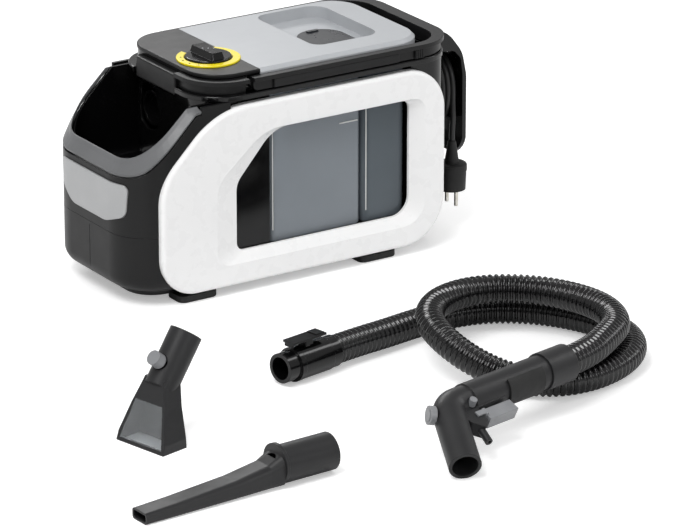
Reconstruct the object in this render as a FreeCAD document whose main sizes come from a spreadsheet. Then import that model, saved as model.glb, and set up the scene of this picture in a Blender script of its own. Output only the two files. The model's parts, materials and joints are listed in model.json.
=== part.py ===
import FreeCAD, Part
import os, math
import Sketcher
from FreeCAD import Vector, Placement, Rotation

# Compact carpet and upholstery cleaner with hose, hand grip, two nozzles and a
# wound mains cord.  Millimetres, +Z up, -X is the nose with the storage well,
# +X the cord end, -Y the front window side.  The origin is on the floor, in the
# middle plane, at the small pad under the base, 187 mm behind the nose's tip.

doc = FreeCAD.newDocument("CarpetCleaner")
sheet = doc.addObject("Spreadsheet::Sheet", "Sizes")
PARAMS = [
    ("nose_x", -187.0), ("body_half_w", 97.0), ("nose_corner", 55.0),
    ("panel_face", 101.5), ("panel_depth", 11.5), ("panel_left", -153.0), ("panel_right", 221.0),
    ("panel_top", 220.0), ("panel_low", 11.5), ("panel_edge_fillet", 5.0),
    ("window_left", -53.0), ("window_right", 176.0), ("window_low", 48.4), ("window_top", 184.0),
    ("window_sill", 3.5),
    ("tower_left", -87.0), ("tower_right", -6.0), ("tower_step", -18.5), ("tower_half_w", 88.0),
    ("tower_corner", 40.0), ("tower_top", 250.0), ("tower_low", 44.0), ("shell_wall", 3.0),
    ("deck_low", 226.0), ("deck_top", 232.0), ("deck_left", -97.0), ("deck_right", 239.0),
    ("deck_half_w", 99.5), ("plate_thick", 4.0),
    ("pan_low", 8.0), ("pan_top", 40.0), ("pan_left", -168.0), ("pan_right", 228.0),
    ("pan_half_w", 78.0), ("pan_corner", 36.0), ("tray_top", 44.0),
    ("seam_z", 83.0), ("bumper_low", 16.0), ("bumper_fillet", 18.0),
    ("well_floor", 118.0), ("well_left", -176.0), ("well_half_w", 86.0), ("well_corner", 44.0),
    ("trim_nose_low", 154.0), ("trim_nose_high", 168.0), ("trim_width", 10.0),
    ("tank_low", 44.2), ("tank_top", 231.0), ("tank_half_w", 84.0), ("tank_wall", 2.4),
    ("fresh_left", -4.0), ("fresh_right", 118.6), ("dirty_left", 120.2), ("dirty_right", 178.0),
    ("tank_corner", 9.0), ("lid_low", 234.0), ("lid_top", 254.0), ("lid_right", 204.0),
    ("lid_half_w", 89.0), ("lid_corner", 38.0), ("lid_recess", 14.0),
    ("dial_x", -46.0), ("dial_y", -25.0), ("ring_outer", 36.0), ("ring_inner", 27.0), ("knob_rad", 26.0),
    ("dial_shaft_rad", 4.0), ("running_fit", 0.05),
    ("pivot_x", -27.0), ("pivot_z", 239.0), ("pivot_rad", 4.0),
    ("handle_out", 101.5), ("handle_in", 91.5), ("handle_right", 240.0), ("handle_bar", 16.0),
    ("handle_low", 233.2), ("rim_low", 244.0), ("rim_top", 249.0),
    ("end_left", 182.0), ("end_right", 238.0), ("end_half_w", 87.5), ("end_low", 42.0),
    ("foot_tall", 8.0), ("foot_out", 93.0), ("foot_in", 60.0),
    ("hose_rad", 16.2), ("connector_spigot_rad", 16.5), ("connector_rad", 18.6), ("connector_bore", 12.5),
    ("grip_rad", 18.0), ("cuff_rad", 20.5), ("suction_rad", 16.5), ("suction_bore", 13.6),
    ("nozzle_wide", 69.0), ("nozzle_deep", 34.0), ("nozzle_tube_rad", 17.6), ("nozzle_bore", 14.6),
    ("crevice_len", 232.0), ("crevice_cuff_rad", 20.0), ("crevice_bore", 16.8),
    ("cord_rad", 3.5), ("coil_section", 21.0), ("coil_inner", 18.0), ("coil_x", 257.5),
    ("coil_low", 116.0), ("coil_high", 205.0), ("motor_rad", 36.0), ("fan_rad", 40.0),
]
V = {}
for n, (name, value) in enumerate(PARAMS):
    cell = "B%d" % (n + 1)
    sheet.set("A%d" % (n + 1), name)
    sheet.set(cell, repr(value))
    sheet.setAlias(cell, name)
    V[name] = value
doc.recompute()
NAMES = sorted(V, key=len, reverse=True)
NODES = []


def ref(expr):
    """Put the sheet's name in front of every alias of an expression."""
    out, word = "", ""
    for ch in expr + " ":
        if ch.isalnum() or ch == "_":
            word += ch
            continue
        out += ("Sizes." + word if word in V else word) + ch
        word = ""
    return out.strip()


def bind(obj, prop, val):
    if isinstance(val, str):
        obj.setExpression(prop, ref(val))
    else:
        part = prop.split(".")
        if len(part) == 1:
            setattr(obj, prop, val)
        else:
            obj.setExpression(prop, repr(float(val)))


def minus(a, b):
    return "(%s) - (%s)" % (a, b)


def node(obj, label):
    obj.Label = label
    NODES.append(obj)
    return obj


def box(name, x0, x1, y0, y1, z0, z1):
    o = doc.addObject("Part::Box", name)
    for prop, a, b in (("Length", x0, x1), ("Width", y0, y1), ("Height", z0, z1)):
        bind(o, prop, minus(b, a))
    for prop, a in (("x", x0), ("y", y0), ("z", z0)):
        bind(o, "Placement.Base." + prop, str(a))
    return o


def cyl(name, rad, p, q):
    """Cylinder of radius rad from point p to point q."""
    p, q = Vector(*p), Vector(*q)
    o = doc.addObject("Part::Cylinder", name)
    bind(o, "Radius", rad if isinstance(rad, str) else float(rad))
    o.Height = (q - p).Length
    o.Placement = Placement(p, Rotation(Vector(0, 0, 1), q - p))
    return o


def cone(name, r0, r1, p, q):
    p, q = Vector(*p), Vector(*q)
    o = doc.addObject("Part::Cone", name)
    bind(o, "Radius1", r0 if isinstance(r0, str) else float(r0))
    bind(o, "Radius2", r1 if isinstance(r1, str) else float(r1))
    o.Height = (q - p).Length
    o.Placement = Placement(p, Rotation(Vector(0, 0, 1), q - p))
    return o


def cut(name, base, tool):
    o = doc.addObject("Part::Cut", name)
    o.Base, o.Tool = base, tool
    return o


def fuse(name, shapes):
    o = doc.addObject("Part::MultiFuse", name)
    o.Shapes = shapes
    o.Refine = True
    return o


def common(name, a, b):
    o = doc.addObject("Part::Common", name)
    o.Base, o.Tool = a, b
    return o


def group(name, shapes):
    o = doc.addObject("Part::Compound", name)
    o.Links = shapes
    return o


def fillet(name, base, test, rad):
    """Part::Fillet of the edges whose middle point passes the test."""
    doc.recompute()
    o = doc.addObject("Part::Fillet", name)
    o.Base = base
    rows = []
    for k, e in enumerate(base.Shape.Edges):
        m = e.valueAt((e.FirstParameter + e.LastParameter) / 2.0)
        if test(m, e):
            rows.append((k + 1, rad, rad))
    o.Edges = rows
    return o


def round_loop(pts):
    """Closed outline of lines and tangent arcs from (x, y[, radius]) corners."""
    n = len(pts)
    corner = []
    for i in range(n):
        p = Vector(pts[i][0], pts[i][1], 0)
        r = pts[i][2] if len(pts[i]) > 2 else 0.0
        a = Vector(pts[i - 1][0], pts[i - 1][1], 0) - p
        b = Vector(pts[(i + 1) % n][0], pts[(i + 1) % n][1], 0) - p
        a.normalize()
        b.normalize()
        if r <= 0:
            corner.append((p, p, None, None, 0))
            continue
        ang = a.getAngle(b)
        t = r / math.tan(ang / 2.0)
        mid = a + b
        mid.normalize()
        c = p + mid * (r / math.sin(ang / 2.0))
        corner.append((p + a * t, p + b * t, c, c - mid * r, r))
    geo = []
    for i in range(n):
        s, e, c, m, r = corner[i]
        if r > 0:
            geo.append(Part.Arc(s, m, e))
        nxt = corner[(i + 1) % n][0]
        if (nxt - e).Length > 1e-4:
            geo.append(Part.LineSegment(e, nxt))
    return geo


class Body:
    """PartDesign body with short calls for sketches, pads and pockets."""

    def __init__(self, label):
        self.b = doc.addObject("PartDesign::Body", "B_" + label)
        self.label = label
        self.n = 0
        node(self.b, label)

    def plane(self, role):
        for f in self.b.Origin.OriginFeatures:
            if f.Role == role:
                return f

    def sketch(self, role, loops, off=0.0):
        self.n += 1
        s = self.b.newObject("Sketcher::SketchObject", "S%d_%s" % (self.n, self.label))
        s.AttachmentSupport = (self.plane(role), [""])
        s.MapMode = "FlatFace"
        if isinstance(off, str):
            s.setExpression("AttachmentOffset.Base.z", ref(off))
        elif off:
            s.AttachmentOffset = Placement(Vector(0, 0, off), Rotation())
        for loop in loops:
            if loop[0] == "circle":
                k = s.addGeometry(Part.Circle(Vector(loop[1], loop[2], 0), Vector(0, 0, 1),
                                              V[loop[3]] if isinstance(loop[3], str) else loop[3]), False)
                c = s.addConstraint(Sketcher.Constraint("Radius", k, V[loop[3]] if isinstance(loop[3], str) else loop[3]))
                if isinstance(loop[3], str):
                    s.setExpression("Constraints[%d]" % c, ref(loop[3]))
                continue
            geo = round_loop(loop)
            ids = s.addGeometry(geo, False)
            cons = []
            for i, g in enumerate(ids):
                h = ids[(i + 1) % len(ids)]
                best = min((s.getPoint(g, ea).distanceToPoint(s.getPoint(h, eb)), ea, eb) for ea in (2, 1) for eb in (1, 2))
                cons.append(Sketcher.Constraint("Coincident", g, best[1], h, best[2]))
            s.addConstraint(cons)
        return s

    def pad(self, s, length, rev=False, mid=False, taper=0):
        f = self.b.newObject("PartDesign::Pad", "P%d_%s" % (self.n, self.label))
        f.Profile = s
        bind(f, "Length", length)
        f.Reversed = rev
        f.Midplane = mid
        if taper:
            f.TaperAngle = taper
        doc.recompute()
        return f

    def pocket(self, s, length, rev=False, mid=False):
        before = self.b.Shape.Volume
        f = self.b.newObject("PartDesign::Pocket", "K%d_%s" % (self.n, self.label))
        f.Profile = s
        bind(f, "Length", length)
        f.Reversed = rev
        f.Midplane = mid
        doc.recompute()
        if self.b.Shape.Volume > before - 0.5:
            print("WARNING pocket cut nothing:", f.Name)
        return f

    def fillet(self, test, rad, chamfer=False):
        doc.recompute()
        base = self.b.Tip
        names = []
        for k, e in enumerate(base.Shape.Edges):
            m = e.valueAt((e.FirstParameter + e.LastParameter) / 2.0)
            if test(m, e):
                names.append("Edge%d" % (k + 1))
        if not names:
            print("WARNING no edges to round on", self.label)
            return None
        kind = "PartDesign::Chamfer" if chamfer else "PartDesign::Fillet"
        f = self.b.newObject(kind, "F%d_%s_%d" % (self.n, self.label, len(self.b.Group)))
        f.Base = (base, names)
        bind(f, "Size" if chamfer else "Radius", rad)
        doc.recompute()
        if "Invalid" in f.State or f.Shape.isNull() or not f.Shape.isValid():
            print("WARNING fillet failed on", self.label, rad, len(names))
            self.b.removeObject(f)
            doc.removeObject(f.Name)
            self.b.Tip = base
            doc.recompute()
            return None
        return f


# ------------------------------------------------------------------ outlines
def nose_loop(grow, right):
    hw, c = V["body_half_w"] + grow, V["nose_corner"] + grow
    return [(V["nose_x"] - grow, -hw, c), (right, -hw), (right, hw), (V["nose_x"] - grow, hw, c)]


def panel_loop(grow):
    g = grow
    return [(V["panel_left"] - g, V["panel_low"] - g, 45 + g), (V["panel_right"] + g, V["panel_low"] - g, 55 + g),
            (V["panel_right"] + g, V["panel_top"] + g, 50 + g), (-81.0 - 0.414 * g, V["panel_top"] + g, 100 + g),
            (V["panel_left"] - g, 148.0 + 0.414 * g, 70 + g)]


WINDOW = [(V["window_left"], V["window_low"], 10), (V["window_right"], V["window_low"], 22),
          (V["window_right"], V["window_top"], 9), (-4.0, V["window_top"], 45), (V["window_left"], 128.0, 25)]


def bevel_loop(g):
    return [(-83.0 - g, 36.5 - g, 18 + g), (194.0 + g, 36.5 - g, 30 + g), (194.0 + g, 187.5 + g, 18 + g),
            (-20.0 - 0.4 * g, 187.5 + g, 62 + g), (-83.0 - g, 134.0 + 0.4 * g, 38 + g)]


def tower_loop(g, right):
    hw, c = V["tower_half_w"] + g, V["tower_corner"] + g
    return [(V["tower_left"] - g, -hw, c), (right, -hw), (right, hw), (V["tower_left"] - g, hw, c)]


# ------------------------------------------------------------------ chassis
b = Body("base_pan")
pan = [(V["pan_left"], -V["pan_half_w"], V["pan_corner"]), (V["pan_right"], -V["pan_half_w"], V["pan_corner"]),
       (V["pan_right"], V["pan_half_w"], V["pan_corner"]), (V["pan_left"], V["pan_half_w"], V["pan_corner"])]
s = b.sketch("XY_Plane", [pan], "pan_low")
b.pad(s, "pan_top - pan_low")
b.fillet(lambda m, e: abs(m.z - V["pan_low"]) < 0.01, 6.0)
w = V["shell_wall"]
inner = [(V["pan_left"] + w, -V["pan_half_w"] + w, V["pan_corner"] - w), (V["pan_right"] - w, -V["pan_half_w"] + w, V["pan_corner"] - w),
         (V["pan_right"] - w, V["pan_half_w"] - w, V["pan_corner"] - w), (V["pan_left"] + w, V["pan_half_w"] - w, V["pan_corner"] - w)]
s = b.sketch("XY_Plane", [inner], "pan_top")
b.pocket(s, "pan_top - pan_low - shell_wall")
# screw holes and a field of outlet slots through the floor
SCREWS = [(-96.0, -52.0), (-96.0, 52.0), (188.0, -52.0), (188.0, 52.0)]
s = b.sketch("XY_Plane", [("circle", x, y, 3.05) for x, y in SCREWS], "pan_low + shell_wall")
b.pocket(s, 3.2)
slots = []
for i in range(7):
    x = -84.0 + i * 10.0
    slots.append([(x, -28, 2.4), (x + 5, -28, 2.4), (x + 5, 28, 2.4), (x, 28, 2.4)])
s = b.sketch("XY_Plane", slots, "pan_low + shell_wall")
b.pocket(s, 3.2)

feet = []
for k, (x0, x1) in enumerate(((-126.0, -76.0), (112.0, 162.0))):
    for sy in (-1, 1):
        y0, y1 = (("foot_in", "foot_out") if sy > 0 else ("0 - foot_out", "0 - foot_in"))
        f = box("Foot%d%s" % (k, "ab"[sy > 0]), x0, x1, y0, y1, 0, "foot_tall")
        f1 = fillet("FootR%d%s" % (k, "ab"[sy > 0]), f, lambda m, e: 1 < m.z < 7, 9.0)
        f2 = fillet("FootE%d%s" % (k, "ab"[sy > 0]), f1, lambda m, e: m.z < 0.01, 1.5)
        feet.append(f2)
# small round pad under the middle of the base
feet.append(fillet("FootCentre", cyl("FootCentreBlank", 12.0, (0, 0, 0), (0, 0, 8)), lambda m, e: m.z < 0.01, 1.0))
node(group("FeetGroup", feet), "rubber_feet")

screws = []
for k, (x, y) in enumerate(SCREWS):
    head = cyl("ScrewHead%d" % k, 5.6, (x, y, 5.8), (x, y, 8.0))
    shank = cyl("ScrewShank%d" % k, 3.0, (x, y, 8.0), (x, y, 24.0))
    sock = cyl("ScrewSocket%d" % k, 1.8, (x, y, 5.0), (x, y, 7.2))
    screws.append(cut("Screw%d" % k, fuse("ScrewBlank%d" % k, [head, shank]), sock))
node(group("ScrewGroup", screws), "housing_screws")

# floor of the tank bay, with the water dock and the air dock holes
b = Body("tank_tray")
s = b.sketch("XY_Plane", [[(-4.5, -87, 4), (181, -87, 4), (181, 87, 4), (-4.5, 87, 4)]], "pan_top")
b.pad(s, "tray_top - pan_top")
s = b.sketch("XY_Plane", [("circle", 30.0, 0.0, 9.0)], "tray_top")
b.pocket(s, 4.2)

# ------------------------------------------------------------------ nose
b = Body("nose_bumper")
s = b.sketch("XY_Plane", [nose_loop(0, -98.0)], "bumper_low")
b.pad(s, "seam_z - bumper_low - 0.3")
b.fillet(lambda m, e: abs(m.z - V["bumper_low"]) < 0.01 and m.x < -98.5, "bumper_fillet")
s = b.sketch("XY_Plane", [nose_loop(-4.0, -90.0)], "seam_z - 0.3")
b.pocket(s, "seam_z - 0.3 - 41")
s = b.sketch("XY_Plane", [nose_loop(-18.4, -90.0)], 41.0)
b.pocket(s, 30.0)
for side, rev in ((89.8, False), (-89.8, True)):
    s = b.sketch("XZ_Plane", [panel_loop(0.3)], side)
    b.pocket(s, 15.0, rev=not rev)
# vertical seam down the middle of the nose
s = b.sketch("YZ_Plane", [[(-0.4, 12), (0.4, 12), (0.4, 79), (-0.4, 79)]], -188.0)
b.pocket(s, 2.0, rev=True)

TRIM_R = 40.0


def trim_outer_z(x):
    """Height of the outer lower edge of the trim; level round the nose, then 45 degrees."""
    z0 = V["trim_nose_low"]
    xk = -172.0
    t = TRIM_R * math.tan(math.radians(22.5))
    if x <= xk - t:
        return z0
    if x <= xk + t * math.cos(math.radians(45)):
        return z0 + TRIM_R - math.sqrt(max(0.0, TRIM_R ** 2 - (x - (xk - t)) ** 2))
    return z0 + (x - xk)


b = Body("front_housing")
s = b.sketch("XY_Plane", [nose_loop(0, -62.0)], "seam_z")
b.pad(s, "225.6 - seam_z")
s = b.sketch("XY_Plane", [nose_loop(-4.0, -50.0)], 226.0)
b.pocket(s, 150.0)
zt = V["trim_nose_low"] - 4.6
s = b.sketch("XZ_Plane", [[(-210, zt), (-172.0, zt, TRIM_R), (-172.0 + 216.9 - zt, 216.9), (-98.9, 216.9), (-98.8, 260), (-210, 260)]], 0.0)
b.pocket(s, 220.0, mid=True)
for side, rev in ((89.8, False), (-89.8, True)):
    s = b.sketch("XZ_Plane", [panel_loop(0.3)], side)
    b.pocket(s, 15.0, rev=not rev)

# storage well: a deep open tub behind the nose, closed by the tower on the +X side
b = Body("storage_well")
wl, wh, wc = V["well_left"], V["well_half_w"], V["well_corner"]
s = b.sketch("XY_Plane", [[(wl, -wh, wc), (-50, -wh), (-50, wh), (wl, wh, wc)]], "well_floor - shell_wall")
b.pad(s, "225 - well_floor + shell_wall")
s = b.sketch("XY_Plane", [[(wl + w, -wh + w, wc - w), (-40, -wh + w), (-40, wh - w), (wl + w, wh - w, wc - w)]], 226.0)
b.pocket(s, "226 - well_floor")
zi = V["trim_nose_high"] - 9.0
s = b.sketch("XZ_Plane", [[(-210, zi), (-176.0, zi, 40), (-176.0 + 100.0, zi + 95.0), (-76, 280), (-210, 280)]], 0.0)
b.pocket(s, 220.0, mid=True)
b.fillet(lambda m, e: abs(m.z - V["well_floor"]) < 0.01 and m.x < -60, 12.0)
s = b.sketch("XY_Plane", [tower_loop(0.4, 10.0)], 226.0)
b.pocket(s, 125.0)


# trim: a grey sloping band all round the well's rim
def trim_sections():
    """Stations round the U of the rim: point, inward normal."""
    hw, c, x0 = V["body_half_w"], V["nose_corner"], V["nose_x"]
    st = []
    for x in (-99.0, -106.0, -113.0, -120.0, -126.5):
        st.append((x, -hw, 0.0, 1.0))
    for k in range(0, 13):
        a = math.radians(-90.0 - 7.5 * k)
        st.append((x0 + c + c * math.cos(a), -hw + c + c * math.sin(a), -math.cos(a), -math.sin(a)))
    for y in (-28.0, -10.0):
        st.append((x0, y, 1.0, 0.0))
    other = [(x, -y, nx, -ny) for x, y, nx, ny in reversed(st)]
    return st + other


def trim_inner_z(x):
    z0 = V["trim_nose_high"]
    xk = -174.0
    d = x - xk
    return z0 + 0.475 * (d + math.sqrt(d * d + 90.0)) - 2.2


def trim_shape():
    wd = V["trim_width"]
    wires = []
    for x, y, nx, ny in trim_sections():
        zo = trim_outer_z(x)
        xi, yi = x + nx * wd, y + ny * wd
        zi_ = trim_inner_z(xi)
        zi_ = min(zi_, 224.5)
        zo = min(zo, 221.0)
        p = [Vector(x, y, zo), Vector(x + nx * 7.0, y + ny * 7.0, zo + 0.62 * (zi_ - zo)), Vector(xi, yi, zi_),
             Vector(xi, yi, zi_ - 5.0), Vector(x + nx * 1.0, y + ny * 1.0, zo - 3.0)]
        wires.append(Part.makePolygon(p + [p[0]]))
    return Part.makeLoft(wires, True, True)


f = doc.addObject("Part::Feature", "WellTrim")
f.Shape = trim_shape()
f.Placement = Placement(Vector(0, 0, 0), Rotation())
node(f, "well_trim")

# blank badge plate wrapping the near corner of the nose
b = Body("badge_plate")
s = b.sketch("XY_Plane", [nose_loop(1.8, -120.0)], 88.0)
b.pad(s, 62.0)
s = b.sketch("XY_Plane", [nose_loop(0.05, -100.0)], 151.0)
b.pocket(s, 70.0)
s = b.sketch("YZ_Plane", [[(-130, 80), (130, 80), (130, 160), (-130, 160)],
                          [(-72, 143, 7), (58.5, 143, 6), (56, 112, 14), (34, 95, 22), (-38, 95, 40), (-69, 106, 12)]], -100.0)
b.pocket(s, 100.0)

# ------------------------------------------------------------------ white side panels
for label, sgn in (("side_panel_front", 1), ("side_panel_rear", -1)):
    b = Body(label)
    base = V["panel_face"] - V["panel_depth"]
    rev = sgn < 0
    s = b.sketch("XZ_Plane", [panel_loop(0)], "%d * (panel_face - panel_depth)" % sgn)
    b.pad(s, "panel_depth", rev=rev)
    face = -sgn * V["panel_face"]
    b.fillet(lambda m, e: abs(m.y - face) < 0.01, "panel_edge_fillet")
    s1 = b.sketch("XZ_Plane", [bevel_loop(0)], sgn * (V["panel_face"] + 0.05))
    s2 = b.sketch("XZ_Plane", [WINDOW], "%d * (panel_face - panel_depth + window_sill)" % sgn)
    l = b.b.newObject("PartDesign::SubtractiveLoft", "L_" + label)
    l.Profile = s1
    l.Sections = [s2]
    l.Ruled = True
    doc.recompute()
    s = b.sketch("XZ_Plane", [WINDOW], "%d * (panel_face - panel_depth - 1)" % sgn)
    b.pocket(s, 10.0, rev=not rev)
    s = b.sketch("XZ_Plane", [panel_loop(-4.5), bevel_loop(3.0)], "%d * (panel_face - panel_depth)" % sgn)
    b.pocket(s, 8.0, rev=not rev)

# ------------------------------------------------------------------ tower
b = Body("tower_shell")
s = b.sketch("XY_Plane", [tower_loop(0, V["tower_right"])], "tower_low")
b.pad(s, "tower_top - tower_low")
s = b.sketch("XY_Plane", [tower_loop(-w, V["tower_right"] - w)], "tower_low - 0.01")
b.pocket(s, "tower_top - tower_low - 4 - 0.01", rev=True)
s = b.sketch("XZ_Plane", [[(V["tower_step"], 231), (10, 231), (10, 260), (V["tower_step"], 260)]], 0.0)
b.pocket(s, 220.0, mid=True)
# the step closes the top of the tank-side part
b2s = b.sketch("XZ_Plane", [[(V["tower_step"] - 3, 228), (-6.5, 228), (-6.5, 231), (V["tower_step"] - 3, 231)]], 0.0)
b.pad(b2s, "2 * (tower_half_w - 0.5)", mid=True)
b2s = b.sketch("XZ_Plane", [[(V["tower_step"] - 3, 228), (V["tower_step"], 228), (V["tower_step"], 249), (V["tower_step"] - 3, 249)]], 0.0)
b.pad(b2s, "2 * (tower_half_w - 0.5)", mid=True)
# hose port: tall keyhole in the well-side wall
port = [(16, 168, 9), (36, 160, 14), (53, 168, 9), (57, 186, 9), (52, 198, 8), (54, 211, 9), (38, 216, 12), (20, 211, 9), (20, 198, 8), (13, 186, 9)]
s = b.sketch("YZ_Plane", [port], -80.0)
b.pocket(s, 9.0)
# dial shaft hole and handle pin holes
s = b.sketch("XY_Plane", [("circle", V["dial_x"], V["dial_y"], 5.0)], "tower_top")
b.pocket(s, 5.0)
s = b.sketch("XZ_Plane", [("circle", V["pivot_x"], V["pivot_z"], "pivot_rad")], 0.0)
b.pocket(s, 200.0, mid=True)

# hose socket ring in the port and the seal behind it
ring_o = cyl("PortOuter", 20.5, (-83.9, 34, 186), (-60, 34, 186))
ring_i = cyl("PortInner", 17.2, (-84.5, 34, 186), (-59, 34, 186))
node(cut("PortRing", ring_o, ring_i), "hose_port")
# suction duct from the socket towards the recovery tank
d1 = cyl("DuctTube", 18.5, (-60, 34, 186), (-12, 34, 186))
d2 = cyl("DuctBore", 15.5, (-61, 34, 186), (-14, 34, 186))
node(cut("Duct", d1, d2), "suction_duct")

# top plate with the dial hole
b = Body("control_plate")
s = b.sketch("XY_Plane", [tower_loop(1.0, V["tower_step"] + 0.2), ("circle", V["dial_x"], V["dial_y"], 4.6)], "tower_top")
b.pad(s, "plate_thick")
b.fillet(lambda m, e: abs(m.z - 254) < 0.01 and m.x < V["tower_step"] and not (abs(m.x - V["dial_x"]) < 5 and abs(m.y - V["dial_y"]) < 5), 1.6)

# yellow ring, open at the back
b = Body("dial_ring")
s = b.sketch("XY_Plane", [("circle", V["dial_x"], V["dial_y"], "ring_outer"), ("circle", V["dial_x"], V["dial_y"], "ring_inner")], 254.0)
b.pad(s, 2.0)
b.fillet(lambda m, e: abs(m.z - 256) < 0.01, 0.8)
s = b.sketch("XY_Plane", [[(V["dial_x"] - 13, V["dial_y"] + 20), (V["dial_x"] + 13, V["dial_y"] + 20), (V["dial_x"] + 17, V["dial_y"] + 40), (V["dial_x"] - 17, V["dial_y"] + 40)]], 257.0)
b.pocket(s, 4.0)

# knob: shallow disc with a faceted grip bar
kb_ = Body("dial_knob")
b = kb_
dx, dy = V["dial_x"], V["dial_y"]
s = b.sketch("XY_Plane", [("circle", dx, dy, "knob_rad")], 254.4)
b.pad(s, 3.6)
b.fillet(lambda m, e: abs(m.z - 258) < 0.01, 1.2)
s = b.sketch("XY_Plane", [[(dx - 9, dy - 22, 3), (dx + 9, dy - 22, 3), (dx + 11, dy + 24, 3), (dx - 11, dy + 24, 3)]], 257.0)
b.pad(s, 8.5, taper=-18)

s = b.sketch("XY_Plane", [("circle", dx, dy, "dial_shaft_rad")], 238.0)
b.pad(s, 17.0)
sb = box("SwitchBox", dx - 16, dx + 16, dy - 16, dy + 16, 214, 237.6)
node(sb, "selector_switch")
pcb = box("Pcb", -68, -22, 12, 68, 222, 224)
chips = [box("Chip%d" % k, -64 + 13 * k, -54 + 13 * k, 20 + 9 * k, 32 + 9 * k, 224, 229) for k in range(3)]
node(fuse("PcbFuse", [pcb] + chips), "circuit_board")

# ------------------------------------------------------------------ deck, rim and front band
b = Body("top_deck")
hw = V["deck_half_w"]
s = b.sketch("XY_Plane", [[(V["deck_left"], -hw, 50), (V["deck_right"], -hw, 46), (V["deck_right"], hw, 46), (V["deck_left"], hw, 50)],
                          tower_loop(0.3, 181.0),
                          [(206, -56, 6), (222, -56, 6), (222, 56, 6), (206, 56, 6)]], "deck_low")
b.pad(s, "deck_top - deck_low")
b.fillet(lambda m, e: abs(m.z - V["deck_top"]) < 0.01 and (abs(m.y) > 97 or m.x > 236 or m.x < -95), 1.6)
s = b.sketch("XY_Plane", [[(-110, -36), (-87.2, -36), (-87.2, 53), (-110, 53)]], 233.0)
b.pocket(s, 10.0)

NB = len(NODES)
b = Body("front_band")
s = b.sketch("XY_Plane", [[(-96.5, -35.6, 2), (-87.4, -35.6), (-87.4, 52.6), (-96.5, 52.6, 8)]], 222.0)
b.pad(s, 24.0)
b.fillet(lambda m, e: m.x < -95 and (abs(m.z - 246) < 0.1 or abs(m.z - 222) < 0.1) and e.Length > 10, 2.0)

b = Body("corner_rim")
s = b.sketch("XY_Plane", [[(V["deck_left"] - 1, -hw - 2, 51), (-39.4, -hw - 2), (-39.4, hw + 2), (V["deck_left"] - 1, hw + 2, 51)],
                          [(V["tower_left"] - 1.2, -V["tower_half_w"] - 1.2, V["tower_corner"] + 1.2), (-39.9, -V["tower_half_w"] - 1.2),
                           (-39.9, V["tower_half_w"] + 1.2), (V["tower_left"] - 1.2, V["tower_half_w"] + 1.2, V["tower_corner"] + 1.2)]], "rim_low")
b.pad(s, "rim_top - rim_low")
s = b.sketch("XY_Plane", [[(-44, -88), (-30, -88), (-30, 88), (-44, 88)], ], 250.0)
b.pocket(s, 10.0)
s = b.sketch("XY_Plane", [[(-115, -36), (-39, -36), (-39, 110), (-115, 110)]], 250.0)
b.pocket(s, 10.0)

# glossy recessed core behind the rim at the two tower corners
b = Body("corner_core")
s = b.sketch("XY_Plane", [[(V["tower_left"] - 4.5, -V["tower_half_w"] - 4.5, 44.5), (-39.4, -V["tower_half_w"] - 4.5), (-39.4, V["tower_half_w"] + 4.5), (V["tower_left"] - 4.5, V["tower_half_w"] + 4.5, 44.5)],
                          [(V["tower_left"] - 0.3, -V["tower_half_w"] - 0.3, V["tower_corner"] + 0.3), (-39.9, -V["tower_half_w"] - 0.3),
                           (-39.9, V["tower_half_w"] + 0.3), (V["tower_left"] - 0.3, V["tower_half_w"] + 0.3, V["tower_corner"] + 0.3)]], "deck_top")
b.pad(s, "rim_low - deck_top")
s = b.sketch("XY_Plane", [[(-44, -88.2), (-30, -88.2), (-30, 88.2), (-44, 88.2)], ], 250.0)
b.pocket(s, 30.0)
s = b.sketch("XY_Plane", [[(-115, -36), (-39, -36), (-39, 110), (-115, 110)]], 250.0)
b.pocket(s, 30.0)

rim_parts = [o for o in NODES[NB:]]
del NODES[NB:]
for o in rim_parts:
    o.Label = o.Label + "_piece"
node(group("RimGroup", rim_parts), "tower_rim")

# ------------------------------------------------------------------ carry handle
b = Body("carry_handle")
ho, hi, hr, hb = V["handle_out"], V["handle_in"], V["handle_right"], V["handle_bar"]
rim = [(-33.0, -ho), (hr, -ho, 48), (hr, ho, 48), (-33.0, ho), (-33.0, hi), (hr - hb, hi, 36), (hr - hb, -hi, 36), (-33.0, -hi)]
s = b.sketch("XY_Plane", [rim], "rim_low")
b.pad(s, "rim_top - rim_low")
co = ho - 3.6
core = [(-32.4, -co), (hr - 3.6, -co, 44.5), (hr - 3.6, co, 44.5), (-32.4, co), (-32.4, hi), (hr - hb, hi, 36), (hr - hb, -hi, 36), (-32.4, -hi)]
s = b.sketch("XY_Plane", [core], "handle_low")
b.pad(s, "rim_low - handle_low")
s = b.sketch("XZ_Plane", [[(-34, 230), (-27, 230), (-27.5, 233.2), (-31.2, 234.8), (-32.5, 238.0), (-32.5, 241), (-34, 241)]], 0.0)
b.pocket(s, 240.0, mid=True)
s = b.sketch("XZ_Plane", [("circle", V["pivot_x"], V["pivot_z"], 4.05)], 0.0)
b.pocket(s, 191.8, mid=True)

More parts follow.
